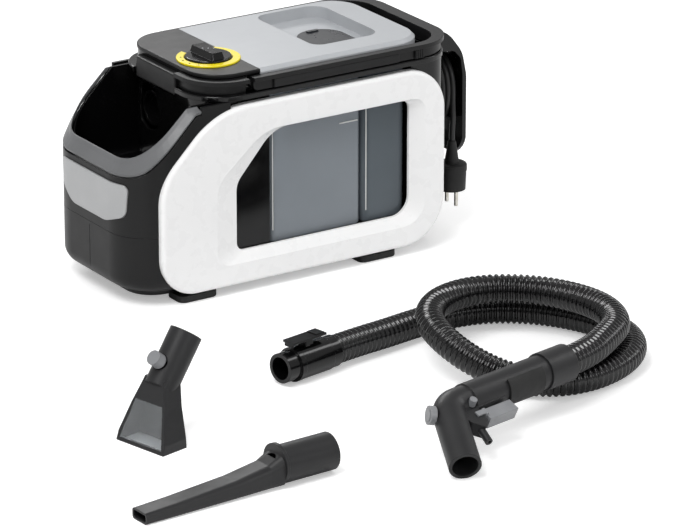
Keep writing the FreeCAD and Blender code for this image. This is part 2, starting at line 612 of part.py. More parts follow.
covers = []
for k, sy in enumerate((-1, 1)):
    a, c = ((co + 0.02, ho - 0.5) if sy > 0 else (-ho + 0.5, -co - 0.02))
    cv = box("SideCover%d" % k, -7.0, 158.0, a, c, 233.6, 243.9)
    covers.append(fillet("SideCoverR%d" % k, cv, lambda m, e: abs(abs(m.y) - (V["handle_out"] - 0.5)) < 0.01, 1.0))
ribs = []
for k, sy in enumerate((-1, 1)):
    a, c = ((co + 0.02, ho - 0.9) if sy > 0 else (-ho + 0.9, -co - 0.02))
    a2, c2 = ((ho - 0.9, ho - 0.2) if sy > 0 else (-ho + 0.2, -ho + 0.9))
    base_ = box("RibBase%d" % k, 180.0, 191.5, a, c, 233.6, 243.9)
    rr = [base_]
    for j in range(4):
        x = 180.6 + 2.9 * j
        rr.append(box("Rib%d%d" % (k, j), x, x + 1.4, a2 if sy < 0 else a2 - 0.05, c2 + 0.05 if sy < 0 else c2, 234.0, 243.5))
    ribs.append(fuse("RibBlock%d" % k, rr))
node(group("GripBlocks", covers + ribs), "handle_grips")
pins = []
for k, sy in enumerate((-1, 1)):
    pins.append(cyl("PivotPin%d" % k, "pivot_rad", (V["pivot_x"], sy * 84.0, V["pivot_z"]), (V["pivot_x"], sy * 95.6, V["pivot_z"])))
node(group("PivotPins", pins), "handle_pivot_pins")

# ------------------------------------------------------------------ end cover, cord hook
b = Body("end_cover")
eh = V["end_half_w"]
s = b.sketch("XY_Plane", [[(V["end_left"], -eh), (V["end_right"], -eh, 30), (V["end_right"], eh, 30), (V["end_left"], eh)]], "end_low")
b.pad(s, "deck_low - end_low - 0.2")
b.fillet(lambda m, e: abs(m.z - V["end_low"]) < 0.01 and m.x > V["end_left"] + 1, 12.0)
s = b.sketch("XY_Plane", [[(V["end_left"] + w, -eh + w), (V["end_right"] - w, -eh + w, 27), (V["end_right"] - w, eh - w, 27), (V["end_left"] + w, eh - w)]], "deck_low - 3.2")
b.pocket(s, "deck_low - end_low - 16")
s = b.sketch("XY_Plane", [[(206, -56, 6), (222, -56, 6), (222, 56, 6), (206, 56, 6)]], "deck_low + 1")
b.pocket(s, 6.0)
s = b.sketch("YZ_Plane", [("circle", 28.5, 160.0, 5.5)], 230.0)
b.pocket(s, 12.0, rev=True)

# hook: curved plate over the cord with the saddle that carries it
b = Body("cord_hook")
s = b.sketch("YZ_Plane", [("circle", 0.0, 166.0, 17.6)], 238.1)
b.pad(s, 47.5)
s = b.sketch("XZ_Plane", [[(238.1, 213), (254, 213), (272, 211.5, 10), (281.5, 201, 10), (284.0, 180, 20), (284.3, 104, 10), (279.5, 84, 1.5), (284.5, 82, 1.5), (289.4, 103, 25), (289.4, 180, 50), (283.5, 208.5, 40), (266, 231.5, 40), (241.0, 245.5, 2), (241.0, 225.9), (238.1, 225.9)]], 0.0)
b.pad(s, 84.0, mid=True)
arc_ = [(20 + 22 * math.cos(math.radians(a)), 104 - 22 * math.sin(math.radians(a))) for a in range(0, 91, 15)]
end_ = [(45, 104)] + arc_ + [(20, 74), (45, 74)]
s = b.sketch("YZ_Plane", [end_, [(-y, z) for y, z in end_]], 270.0)
b.pocket(s, 30.0, rev=True)
g0 = cyl("GlandCollar", 9.0, (238.1, 28.5, 160), (242.0, 28.5, 160))
g1 = cyl("GlandSleeve", 5.4, (232.0, 28.5, 160), (245.0, 28.5, 160))
g2 = cyl("GlandBore", 3.6, (231.0, 28.5, 160), (244.0, 28.5, 160))
node(cut("Gland", fuse("GlandBlank", [g0, g1]), g2), "cable_gland")

# ------------------------------------------------------------------ mains cord
b = Body("cord_coil")
cs, ci = V["coil_section"], V["coil_inner"]
zl, zh, co_ = V["coil_low"], V["coil_high"], V["coil_inner"] + V["coil_section"]
s = b.sketch("YZ_Plane", [[(-co_, zl, co_ - 0.01), (co_, zl, co_ - 0.01), (co_, zh, co_ - 0.01), (-co_, zh, co_ - 0.01)],
                          [(-ci, zl + cs, ci - 0.01), (ci, zl + cs, ci - 0.01), (ci, zh - cs, ci - 0.01), (-ci, zh - cs, ci - 0.01)]], "coil_x")
b.pad(s, "coil_section")
xm = V["coil_x"] + cs / 2.0
b.fillet(lambda m, e: abs(abs(m.x - xm) - cs / 2.0) < 0.01, 3.4)
lead = cyl("CordLead", "cord_rad", (245.0, 28.5, 160), (V["coil_x"] + 0.5, 28.5, 160))
PX, PY = 268.0, -45.0
node(group("CordEnds", [lead, cyl("CordTail", "cord_rad", (PX, PY + 0.15, 105.8), (PX, -38.0, 141.0))]), "mains_cord_ends")

# moulded two-pin plug hanging with its pins down
pl = [cone("PlugRelief", 8.6, 4.6, (PX, PY, 78), (PX, PY, 105)), cyl("PlugDisc", 17.6, (PX, PY, 70), (PX, PY, 78)),
      cone("PlugBody", 16.2, 17.0, (PX, PY, 47), (PX, PY, 70))]
plug = fuse("PlugFuse", pl)
plug = fillet("PlugRound", plug, lambda m, e: 77.5 < m.z < 78.5 and math.hypot(m.x - PX, m.y - PY) > 12, 2.2)
notch = [box("PlugNotch%d" % k, PX + sy * 15.6 - 1.6, PX + sy * 15.6 + 1.6, PY - 3, PY + 3, 46, 66) for k, sy in enumerate((-1, 1))]
node(cut("PlugCut", plug, fuse("PlugNotches", notch)), "mains_plug")
node(group("PlugPins", [fillet("PinTip%d" % k, cyl("PinRod%d" % k, 2.4, (PX, PY + sx * 9.5, 28), (PX, PY + sx * 9.5, 47)), lambda m, e: m.z < 28.1, 1.4)
                        for k, sx in enumerate((-1, 1))]), "plug_pins")

# ------------------------------------------------------------------ tanks
def tank(label, x0, x1):
    t = Body(label)
    hw_, c, wt = V["tank_half_w"], V["tank_corner"], V["tank_wall"]
    k = t.sketch("XY_Plane", [[(x0, -hw_, c), (x1, -hw_, c), (x1, hw_, c), (x0, hw_, c)]], "tank_low")
    t.pad(k, "tank_top - tank_low")
    t.fillet(lambda m, e: abs(m.z - V["tank_low"]) < 0.01, 4.0)
    k = t.sketch("XY_Plane", [[(x0 + wt, -hw_ + wt, c - wt), (x1 - wt, -hw_ + wt, c - wt), (x1 - wt, hw_ - wt, c - wt), (x0 + wt, hw_ - wt, c - wt)]], "tank_top")
    t.pocket(k, "tank_top - tank_low - tank_wall")
    return t


t1 = tank("fresh_water_tank", V["fresh_left"], V["fresh_right"])
s = t1.sketch("XY_Plane", [("circle", 30.0, 0.0, 6.0)], "tank_low + tank_wall")
t1.pocket(s, 4.0)
t2 = tank("waste_water_tank", V["dirty_left"], V["dirty_right"])
s = t2.sketch("XY_Plane", [[(V["dirty_left"] + 1, 10), (V["dirty_right"] - 1, 10), (V["dirty_right"] - 1, 12), (V["dirty_left"] + 1, 12)]], 90.0)
t2.pad(s, 130.0)

v0 = cyl("ValveStem", 6.0, (30, 0, 36.0), (30, 0, 46.6))
v1 = cyl("ValveFlange", 11.0, (30, 0, 46.6), (30, 0, 49.6))
node(fuse("ValveFuse", [v0, v1]), "tank_outlet_valve")

lid = Body("tank_lid")
lh, lr, lc = V["lid_half_w"], V["lid_right"], V["lid_corner"]
s = lid.sketch("XY_Plane", [[(-18.0, -lh), (lr, -lh, lc), (lr, lh, lc), (-18.0, lh)]], "lid_low")
lid.pad(s, "lid_top - lid_low")
lid.fillet(lambda m, e: abs(m.z - V["lid_top"]) < 0.01 and m.x > -16, 4.0, chamfer=True)
REC = [(77, -53, 14), (165, -53, 18), (165, 78, 22), (77, 78, 16)]
s = lid.sketch("XY_Plane", [REC], "lid_top")
lid.pocket(s, "lid_recess")
s = lid.sketch("XY_Plane", [[(-15, -lh + 3), (lr - 3, -lh + 3, lc - 3), (lr - 3, lh - 3, lc - 3), (-15, lh - 3)],
                            [(74.5, -55.5, 16), (167.5, -55.5, 20), (167.5, 80.5, 24), (74.5, 80.5, 18)]], "lid_low")
lid.pocket(s, 15.0, rev=True)
s = lid.sketch("XY_Plane", [("circle", 120.0, -8.0, 22.0)], "lid_top - lid_recess")
lid.pocket(s, 7.0)
for x0, x1 in ((84.0, 88.0), (152.0, 156.0)):
    s = lid.sketch("YZ_Plane", [[(-53.2, 239.5), (-46.2, 239.5), (-46.2, 245.8, 2.5), (-53.2, 245.8)]], x0)
    lid.pad(s, x1 - x0)
s = lid.sketch("YZ_Plane", [("circle", -49.5, 243.0, 1.5)], 87.0)
lid.pad(s, 66.0)

cap = Body("filler_cap")
s = cap.sketch("XY_Plane", [[(91, -46.0), (149, -46.0), (149, 28, 28.5), (91, 28, 28.5)]], 240.4)
cap.pad(s, 3.4)
cap.fillet(lambda m, e: abs(m.z - 243.8) < 0.01 and m.y > -45, 1.2)
s = cap.sketch("YZ_Plane", [[(-52.0, 241.2, 1.7), (-50, 240.5, 1.5), (-45.9, 240.4), (-45.9, 243.8), (-48, 245.5, 1.5), (-52.0, 245.5, 2.0)]], 91.0)
cap.pad(s, 58.0)
s = cap.sketch("YZ_Plane", [("circle", -49.5, 243.0, 1.55)], 90.0)
cap.pocket(s, 60.0, rev=True)
s = cap.sketch("XY_Plane", [[(112, 18, 3), (128, 18, 3), (128, 23, 2), (112, 23, 2)]], 243.8)
cap.pad(s, 1.6)

b = Body("lid_seal")
th, wt = V["tank_half_w"], 3.2
s = b.sketch("XY_Plane", [[(V["fresh_left"], -th, 9), (V["dirty_right"], -th, 9), (V["dirty_right"], th, 9), (V["fresh_left"], th, 9)],
                          [(V["fresh_left"] + wt, -th + wt, 6), (V["fresh_right"] - 2, -th + wt, 6), (V["fresh_right"] - 2, th - wt, 6), (V["fresh_left"] + wt, th - wt, 6)],
                          [(V["dirty_left"] + 2, -th + wt, 6), (V["dirty_right"] - wt, -th + wt, 6), (V["dirty_right"] - wt, th - wt, 6), (V["dirty_left"] + 2, th - wt, 6)]], "tank_top")
b.pad(s, "lid_low - tank_top")

c0 = cyl("CageOuter", 14.0, (149, 44, 150), (149, 44, 233.9))
c1 = cyl("CageInner", 12.3, (149, 44, 152.4), (149, 44, 230.0))
c2 = box("CageSlot", 145, 153, 20, 70, 156, 220)
node(cut("CageCut2", cut("CageCut", c0, c1), c2), "float_cage")
node(fillet("FloatRound", cyl("FloatCyl", 11.6, (149, 44, 152.6), (149, 44, 172.6)), lambda m, e: True, 4.0), "float_valve")


# ------------------------------------------------------------------ works inside the tower
MX, MY = -46.0, -42.0
mp = box("MotorPlateBlank", -83.0, -9.6, -83, 83, 44.2, 50)
mp = fillet("MotorPlate", mp, lambda m, e: m.x < -82 and 45 < m.z < 49, 36.5)
mph = cyl("MotorVent", 22.0, (MX, MY, 40), (MX, MY, 52))
node(cut("MotorPlateCut", mp, mph), "motor_mount")
mcan = fillet("MotorRound", cyl("MotorCan", "motor_rad", (MX, MY, 50), (MX, MY, 112)), lambda m, e: m.z > 111, 4.0)
bear = cyl("BearingRing", 8.0, (MX, MY, 110), (MX, MY, 118))
bearh = cyl("BearingBore", 3.05, (MX, MY, 112), (MX, MY, 119))
node(cut("MotorBearing", fuse("MotorFuse", [mcan, bear]), bearh), "vacuum_motor")
node(cyl("MotorShaft", 3.0, (MX, MY, 113.0), (MX, MY, 146)), "motor_shaft")
fh0 = cyl("FanShell", 36.6, (MX, MY, 112.2), (MX, MY, 152))
fh1 = cyl("FanRoom", 34.0, (MX, MY, 111), (MX, MY, 149))
fh2 = cyl("FanEye", 14.0, (MX, MY, 148), (MX, MY, 153))
node(cut("FanHouse2", cut("FanHouse", fh0, fh1), fh2), "fan_housing")
b = Body("fan_impeller")
s = b.sketch("XY_Plane", [("circle", MX, MY, 31.0), ("circle", MX, MY, 3.0)], 122.0)
b.pad(s, 3.0)
s = b.sketch("XY_Plane", [[(MX + 9, MY - 1), (MX + 30.5, MY + 6), (MX + 30.5, MY + 7.6), (MX + 9, MY + 1)]], 124.9)
b.pad(s, 16.0)
for k in range(1, 8):
    a = math.radians(45.0 * k)
    pts = []
    for px, py in ((9, -1), (30.5, 6), (30.5, 7.6), (9, 1)):
        pts.append((MX + px * math.cos(a) - py * math.sin(a), MY + px * math.sin(a) + py * math.cos(a)))
    s = b.sketch("XY_Plane", [pts], 124.9)
    b.pad(s, 16.0)
pcan = fillet("PumpRound", cyl("PumpCan", 17.0, (-46, 34, 50), (-46, 34, 104)), lambda m, e: m.z > 103, 3.0)
pp0 = cyl("PumpSleeveO", 8.0, (-46, 34, 102), (-46, 34, 122))
pp1 = cyl("PumpSleeveI", 5.0, (-46, 34, 104), (-46, 34, 123))
node(cut("PumpSleeve", fuse("PumpFuse", [pcan, pp0]), pp1), "pump_body")
node(cyl("PumpPlunger", 4.95, (-46, 34, 110), (-46, 34, 134)), "pump_plunger")
w0 = [cyl("WaterRise", 3.5, (-46, 66, 54), (-46, 66, 160)), cyl("WaterTurn", 3.2, (-46, 66, 156.5), (-64, 66, 156.5)),
      cyl("WaterFoot", 3.2, (-46, 66, 57.5), (-46, 51.1, 57.5))]
node(fuse("WaterLine", w0), "water_line")

# ------------------------------------------------------------------ hose set
def put(obj, base, rot):
    """Turn and move an object built about the origin."""
    obj.Placement = Placement(Vector(*base), rot)
    return obj


def along(name, rad, axis_pts):
    return cyl(name, rad, *axis_pts)


CON = Vector(-163.0, -357.0, 19.2)
CROT = Rotation(Vector(0, 0, 1), math.degrees(math.atan2(14.0, 71.0)))


def cpt(x, y, z):
    return tuple(CON + CROT.multVec(Vector(x, y, z)))


def crot_box(name, x0, x1, y0, y1, z0, z1):
    o = doc.addObject("Part::Box", name)
    o.Length, o.Width, o.Height = x1 - x0, y1 - y0, z1 - z0
    o.Placement = Placement(CON + CROT.multVec(Vector(x0, y0, z0)), CROT)
    return o


k0 = [cyl("ConSpigot", "connector_spigot_rad", cpt(0, 0, 0), cpt(16, 0, 0)),
      cyl("ConCollar", 19.0, cpt(16, 0, 0), cpt(22, 0, 0)), cyl("ConBody", "connector_rad", cpt(22, 0, 0), cpt(64, 0, 0)),
      cyl("ConTail", 17.8, cpt(64, 0, 0), cpt(76, 0, 0)), crot_box("ConBoss", 32, 38, -6, 6, 15, 23.4)]
kb = fuse("ConFuse", k0)
kb = cut("ConBored", kb, cyl("ConBore", "connector_bore", cpt(-1, 0, 0), cpt(60, 0, 0)))
kb = cut("ConSocketed", kb, cyl("ConSocket", 16.25, cpt(60, 0, 0), cpt(77, 0, 0)))
kb = cut("ConPinned", kb, cyl("ConPinHole", 1.55, cpt(35, -7, 21.4), cpt(35, 7, 21.4)))
node(kb, "hose_connector")
lt = [crot_box("LatchTop", 12, 60, -8.5, 8.5, 25.0, 27.4), crot_box("LatchCheekA", 30, 40, -8.5, -6.3, 19.9, 25.2),
      crot_box("LatchCheekB", 30, 40, 6.3, 8.5, 19.9, 25.2), cyl("LatchPin", 1.5, cpt(35, -7.5, 21.4), cpt(35, 7.5, 21.4)),
      crot_box("LatchHook", 12, 14.5, -6, 6, 21.4, 25.2), crot_box("LatchRib", 46, 58, -7, 7, 27.3, 28.6)]
node(fuse("LatchFuse", lt), "connector_latch")

# hose: corrugated suction hose with the water line inside it, lying in a loop on the floor
HOSE = [(-102.2, -345.0, 19.2),
        (-57.1, -336.1, 19.2),
        (-11.6, -329.1, 18.3),
        (33.4, -319.7, 17.5),
        (79.0, -314.4, 16.9),
        (123.9, -323.0, 16.8),
        (161.4, -349.2, 17.0),
        (188.9, -385.9, 17.2),
        (206.0, -428.5, 16.9),
        (208.2, -474.1, 16.6),
        (185.8, -513.5, 17.4),
        (148.0, -539.3, 17.6),
        (103.6, -550.3, 16.6),
        (58.6, -542.6, 16.6),
        (23.7, -513.8, 20.3),
        (1.3, -475.4, 31.7),
        (-9.1, -433.8, 46.3),
        (2.3, -389.9, 51.5),
        (33.8, -357.2, 52.8),
        (77.6, -344.6, 52.5),
        (122.0, -354.4, 51.7),
        (155.9, -384.9, 51.5),
        (175.7, -426.2, 51.8),
        (180.4, -471.7, 52.1),
        (163.8, -513.9, 52.3),
        (127.0, -541.0, 51.7),
        (86.0, -563.7, 49.8),
        (41.2, -572.6, 49.4)]


def route_path(pts, label):
    """Straight runs joined by tangent arcs; every arc as large as its two runs allow."""
    p = [Vector(*q) for q in pts]
    edges, cur, radii = [], p[0], []
    for i in range(1, len(p) - 1):
        a, c = p[i - 1] - p[i], p[i + 1] - p[i]
        la, lc_ = a.Length, c.Length
        a.normalize()
        c.normalize()
        turn = math.pi - a.getAngle(c)
        t = 0.45 * min(la, lc_)
        rad = t / math.tan(turn / 2.0)
        radii.append(rad)
        s_, e_ = p[i] + a * t, p[i] + c * t
        mid = a + c
        mid.normalize()
        centre = p[i] + mid * math.hypot(rad, t)
        edges.append(Part.LineSegment(cur, s_).toShape())
        edges.append(Part.Arc(s_, centre - mid * rad, e_).toShape())
        cur = e_
    edges.append(Part.LineSegment(cur, p[-1]).toShape())
    wire = Part.Wire(edges)
    print(label, "length %.0f" % wire.Length, "radii", " ".join("%.0f" % r for r in radii))
    return wire


def tube(pts, rad, label):
    wire = route_path(pts, label)
    d = Vector(*pts[1]) - Vector(*pts[0])
    ring = Part.Wire(Part.Circle(Vector(*pts[0]), d, rad).toShape())
    pipe = wire.makePipeShell([ring], True, False)
    print(label, "volume", round(pipe.Volume), "section x length", round(math.pi * rad * rad * wire.Length))
    return pipe


f = doc.addObject("Part::Feature", "HoseTube")
f.Shape = tube(HOSE, V["hose_rad"], "hose")
f.Placement = Placement(Vector(0, 0, 0), Rotation())
node(f, "suction_hose")

# hand grip: E is the elbow, G_A runs up the handle to the hose, G_B is the finger side
GE, GK, GM = Vector(-117.9, -604.3, 48.0), Vector(54.9, -569.9, 49.5), Vector(-145.8, -679.1, 15.8)
G_A = GK - GE
GLEN = G_A.Length
G_A.normalize()
G_M = GM - GE
MLEN = G_M.Length
G_M.normalize()
G_B = G_M - G_A * G_M.dot(G_A)
G_B.normalize()
G_N = G_A.cross(G_B)


def gp(a, b_, c=0.0):
    v = GE + G_A * a + G_B * b_ + G_N * c
    return (v.x, v.y, v.z)


GROT = Rotation(G_A, G_B, G_N, "ZXY")


def gbox(name, a0, a1, b0, b1, c0, c1):
    o = doc.addObject("Part::Box", name)
    o.Length, o.Width, o.Height = a1 - a0, b1 - b0, c1 - c0
    o.Placement = Placement(Vector(*gp(a0, b0, c0)), GROT)
    return o


def bent(rad, a_end, m_end, bend):
    """Solid round bar that follows the handle, the elbow and the suction tube."""
    turn = G_A.getAngle(G_M * -1.0)
    t = bend * math.tan(turn / 2.0)
    s_, e_ = GE + G_A * t, GE + G_M * t
    mid = G_A + G_M
    mid.normalize()
    centre = GE + mid * math.hypot(bend, t)
    p0, p1 = GE + G_A * a_end, GE + G_M * m_end
    wire = Part.Wire([Part.LineSegment(p0, s_).toShape(), Part.Arc(s_, centre - mid * bend, e_).toShape(),
                      Part.LineSegment(e_, p1).toShape()])
    ring = Part.Wire(Part.Circle(p0, G_A * -1.0, rad).toShape())
    return wire.makePipeShell([ring], True, False)


outer = doc.addObject("Part::Feature", "GripOuter")
outer.Shape = bent(17.2, 150.0, MLEN, 22.0)
bore = doc.addObject("Part::Feature", "GripBore")
bore.Shape = bent(V["suction_bore"], 151.0, MLEN + 1.0, 22.0)
bell = cyl("GripBell", 18.6, gp(26, 0), gp(140, 0))
web = doc.addObject("Part::Feature", "GripWebSolid")
wp = [Vector(*gp(a, b_, -8.0)) for a, b_ in ((-4, 10), (70, 10), (66, 17.6), (26, 19), (22, 38), (13, 45), (3, 34))]
web.Shape = Part.Face(Part.makePolygon(wp + [wp[0]])).extrude(G_N * 16.0)
g = cut("GripHollow", fuse("GripSolid", [outer, bell, web]), bore)
g = cut("GripRelief", g, gbox("TriggerRoom", 24.6, 70, 19.2, 60, -9, 9))
g = cut("GripPivotCut", g, cyl("GripPivotHole", 1.55, gp(19, 27, -9), gp(19, 27, 9)))
g = cut("GripKnobRoom", g, cyl("GripKnobHole", 10.6, gp(12.9 - 0.877 * 52.0, 22.0 - 0.48 * 52.0), gp(12.9 - 0.877 * 37.4, 22.0 - 0.48 * 37.4)))
g = cut("GripButtonRoom", g, cyl("GripButtonHole", 4.6, gp(20, 13, -30), gp(20, 13, -7.0)))
gbody = g
c0 = cyl("CuffOuter", "cuff_rad", gp(138, 0), gp(GLEN, 0))
c1 = cyl("CuffHose", 16.25, gp(GLEN - 15, 0), gp(GLEN + 1, 0))
c2 = cyl("CuffInner", 18.65, gp(137, 0), gp(151, 0))
c3 = cyl("CuffThrough", 14.0, gp(150, 0), gp(GLEN, 0))
node(cut("CuffCut3", cut("CuffCut2", cut("CuffCut", c0, c1), c2), c3), "grip_cuff")
p0 = cyl("PadOuter", 20.8, gp(74, 0), gp(126, 0))
p1 = cyl("PadInner", 18.65, gp(73, 0), gp(127, 0))
p2 = gbox("PadSide", 70, 130, 7.0, 30, -30, 30)
node(common("PadCommon", cut("PadCut", p0, p1), p2), "grip_pad")
tr = fuse("TriggerFuse", [gbox("TriggerBlade", 27.5, 68, 22.6, 37, -7, 7), gbox("TriggerEarA", 15, 29, 23.8, 30, 8.1, 9.9),
                          gbox("TriggerEarB", 15, 29, 23.8, 30, -9.9, -8.1), gbox("TriggerBridge", 25.4, 29, 23.0, 31, -9.9, 9.9),
                          cyl("TriggerPin", 1.5, gp(19, 27, -9), gp(19, 27, 9))])
node(tr, "spray_trigger")
knob_ = [cyl("KnobDisc", 10.0, gp(12.9 - 0.877 * 45.5, 22.0 - 0.48 * 45.5), gp(12.9 - 0.877 * 39.2, 22.0 - 0.48 * 39.2)),
         cyl("KnobCap", 6.5, gp(12.9 - 0.877 * 46.5, 22.0 - 0.48 * 46.5), gp(12.9 - 0.877 * 45.3, 22.0 - 0.48 * 45.3))]
node(fuse("KnobFuse", knob_), "tool_release_button")
node(cyl("SideButton", 4.2, gp(20, 13, -16.6), gp(20, 13, -8.6)), "steam_lock_button")
n0 = cyl("NippleBody", 4.2, gp(13, 40), gp(8, 58))
n1 = cyl("NippleBore", 1.6, gp(12, 45), gp(8, 60))
node(cut("GripNozzled", fuse("GripWithNipple", [gbody, n0]), n1), "grip_body")

# ------------------------------------------------------------------ upholstery nozzle
NZ, NROT = Vector(-361.0, -421.0, 0.0), Rotation(Vector(0, 0, 1), 13.4)


def npnt(x, y, z):
    v = NZ + NROT.multVec(Vector(x, y, z))
    return (v.x, v.y, v.z)


def rect_wire(x0, x1, y0, y1, z, zr=None):
    zr = z if zr is None else zr
    return Part.makePolygon([Vector(x0, y0, z), Vector(x1, y0, zr), Vector(x1, y1, zr), Vector(x0, y1, z), Vector(x0, y0, z)])


def nozzle_blank(g_):
    """Flared head: wide mouth on the floor narrowing to the neck; g_ shrinks it."""
    secs = [(-17 + g_, 17 - g_, 34.5 - g_, 0.0 - (1 if g_ else 0)), (-14 + g_, 17 - g_, 34.0 - g_, 10.0), (-4 + g_, 21 - g_, 24.0 - g_, 42.0),
            (3 + g_, 28 - g_, 15.5 - g_, 64.0), (7 + g_, 32 - g_, 15.0 - g_, 70.0 + (1 if g_ else 0))]
    return Part.makeLoft([rect_wire(a, c, -h, h, z) for a, c, h, z in secs], True, True)


head = doc.addObject("Part::Feature", "NozzleHead")
head.Shape = nozzle_blank(0.0)
head.Placement = Placement(NZ, NROT)
hollow = doc.addObject("Part::Feature", "NozzleHollow")
hollow.Shape = nozzle_blank(3.0)
hollow.Placement = Placement(NZ, NROT)
neck = cyl("NozzleNeck", "nozzle_tube_rad", npnt(14, 0, 58), npnt(52, 0, 108))
nbore = cyl("NozzleBore", "nozzle_bore", npnt(20, 0, 66), npnt(53.4, 0, 109.8))
nz = cut("NozzleHollowed", fuse("NozzleBlank", [head, neck]), hollow)
nz = cut("NozzleBored", nz, nbore)
wcut = doc.addObject("Part::Feature", "NozzleWindowCut")
wsec = [(-22.0, -10.5, 30.0, 3.0), (-16.0, 4.0, 19.0, 46.0)]


def window_prism(x0a, x1a, ha, za, x0b, x1b, hb_, zb):
    return Part.makeLoft([rect_wire(x0a, x1a, -ha, ha, za), rect_wire(x0b, x1b, -hb_, hb_, zb)], True, True)


wcut.Shape = window_prism(-22.0, -9.0, 30.5, 4.0, -20.0, 6.0, 19.5, 46.0)
wcut.Placement = Placement(NZ, NROT)
nz = cut("NozzleWindowed", nz, wcut)
nz = cut("NozzleButtonRoom", nz, cyl("NozzleButtonHole", 8.4, npnt(0.0, 0, 97.6), npnt(22.0, 0, 80.0)))
nzb = nz
wpane = doc.addObject("Part::Feature", "NozzlePaneBlank")
outer_skin = nozzle_blank(0.0)
inner_skin = nozzle_blank(2.2)
pane = outer_skin.cut(inner_skin).common(window_prism(-22.0, -9.0, 30.3, 4.2, -20.0, 6.0, 19.3, 45.8))
pane = max(pane.Solids, key=lambda q: q.Volume)
wpane.Shape = pane
wpane.Placement = Placement(NZ, NROT)
node(wpane, "nozzle_window")
nb = cyl("NozzleButton", 8.0, npnt(4.4, 0, 94.0), npnt(13.5, 0, 86.8))
node(nb, "nozzle_button")
def nbox(name, x0, x1, y0, y1, z0, z1):
    o = doc.addObject("Part::Box", name)
    o.Length, o.Width, o.Height = x1 - x0, y1 - y0, z1 - z0
    o.Placement = Placement(NZ + NROT.multVec(Vector(x0, y0, z0)), NROT)
    return o


nclip = fuse("NozzleClipFuse", [nbox("ClipPlate", 17.0, 23.4, -6, 6, 22, 44), nbox("ClipLip", 22.0, 28.0, -6, 6, 38, 44)])
node(fuse("NozzleWithClip", [nzb, nclip]), "nozzle_body")

# ------------------------------------------------------------------ crevice tool
CZ, CROT2 = Vector(-476.0, -590.0, 0.0), Rotation(Vector(0, 0, 1), 3.0)


def oval_wire(x, hy, zc, hz):
    """Rounded rectangle across the tool at station x, as 24 short sides."""
    r_ = 0.6 * min(hy, hz)
    out = []
    for cy_, cz_, a0 in ((hy - r_, hz - r_, 0), (r_ - hy, hz - r_, 90), (r_ - hy, r_ - hz, 180), (hy - r_, r_ - hz, 270)):
        for k in range(6):
            t_ = math.radians(a0 + 18.0 * k)
            out.append(Vector(x, cy_ + r_ * math.cos(t_), zc + cz_ + r_ * math.sin(t_)))
    return Part.makePolygon(out + [out[0]])


def crevice_blank(g_):
    st = [(0.0, 13.0, 6.2, 6.0), (40.0, 13.5, 7.4, 7.0), (110.0, 14.5, 10.5, 9.5), (150.0, 15.8, 14.0, 12.5), (166.0, 18.0, 18.0, 16.5)]
    n_ = len(st) - 1
    return Part.makeLoft([oval_wire(x + (-2 if g_ and i == 0 else (1 if g_ and i == n_ else 0)), hy - g_, zc, hz - g_)
                          for i, (x, hy, zc, hz) in enumerate(st)], True, True)


cb = doc.addObject("Part::Feature", "CreviceBlade")
cb.Shape = crevice_blank(0.0)
cb.Placement = Placement(CZ, CROT2)
ch = doc.addObject("Part::Feature", "CreviceHollow")
ch.Shape = crevice_blank(2.2)
ch.Placement = Placement(CZ, CROT2)


def cpnt(x, y, z):
    v = CZ + CROT2.multVec(Vector(x, y, z))
    return (v.x, v.y, v.z)


cc = cyl("CreviceCuff", "crevice_cuff_rad", cpnt(165, 0, 20.2), cpnt(232, 0, 20.2))
cf1 = cyl("CreviceFlange", 21.4, cpnt(165, 0, 22.3), cpnt(169, 0, 22.3))
cbore = cyl("CreviceBore", "crevice_bore", cpnt(172, 0, 20.2), cpnt(233, 0, 20.2))
cmid = cyl("CreviceMid", 14.0, cpnt(160, 0, 19.4), cpnt(173, 0, 19.4))
cr = cut("CreviceA", fuse("CreviceFuse", [cb, cc, cf1]), ch)
cr = cut("CreviceB", cr, cbore)
cr = cut("CreviceC", cr, cmid)
node(cr, "crevice_tool")

# ------------------------------------------------------------------ check and write
doc.recompute()
bad = []
for o in doc.Objects:
    if "Invalid" in o.State or "Error" in o.State:
        bad.append((o.Name, list(o.State)))
seen = set()
for o in NODES:
    if o.Label in seen:
        bad.append((o.Label, "label used twice"))
    seen.add(o.Label)
    if o.Shape.isNull() or not o.Shape.isValid() or o.Shape.Volume <= 0:
        bad.append((o.Label, "bad shape"))
if bad:
    for x in bad:
        print("BAD", x)
    raise SystemExit(1)
os.makedirs("parts", exist_ok=True)
for name in os.listdir("parts"):
    if name.endswith(".step") and name[:-5] not in seen:
        os.remove(os.path.join("parts", name))
for o in NODES:
    o.Shape.exportStep(os.path.join("parts", o.Label + ".step"))
    bb = o.Shape.BoundBox
    print("%-22s solids %d vol %9.0f  x %.1f..%.1f y %.1f..%.1f z %.1f..%.1f" % (
        o.Label, len(o.Shape.Solids), o.Shape.Volume, bb.XMin, bb.XMax, bb.YMin, bb.YMax, bb.ZMin, bb.ZMax))
print("nodes", len(NODES))
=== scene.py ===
import json
import math
import bmesh
import bpy
from mathutils import Matrix, Vector


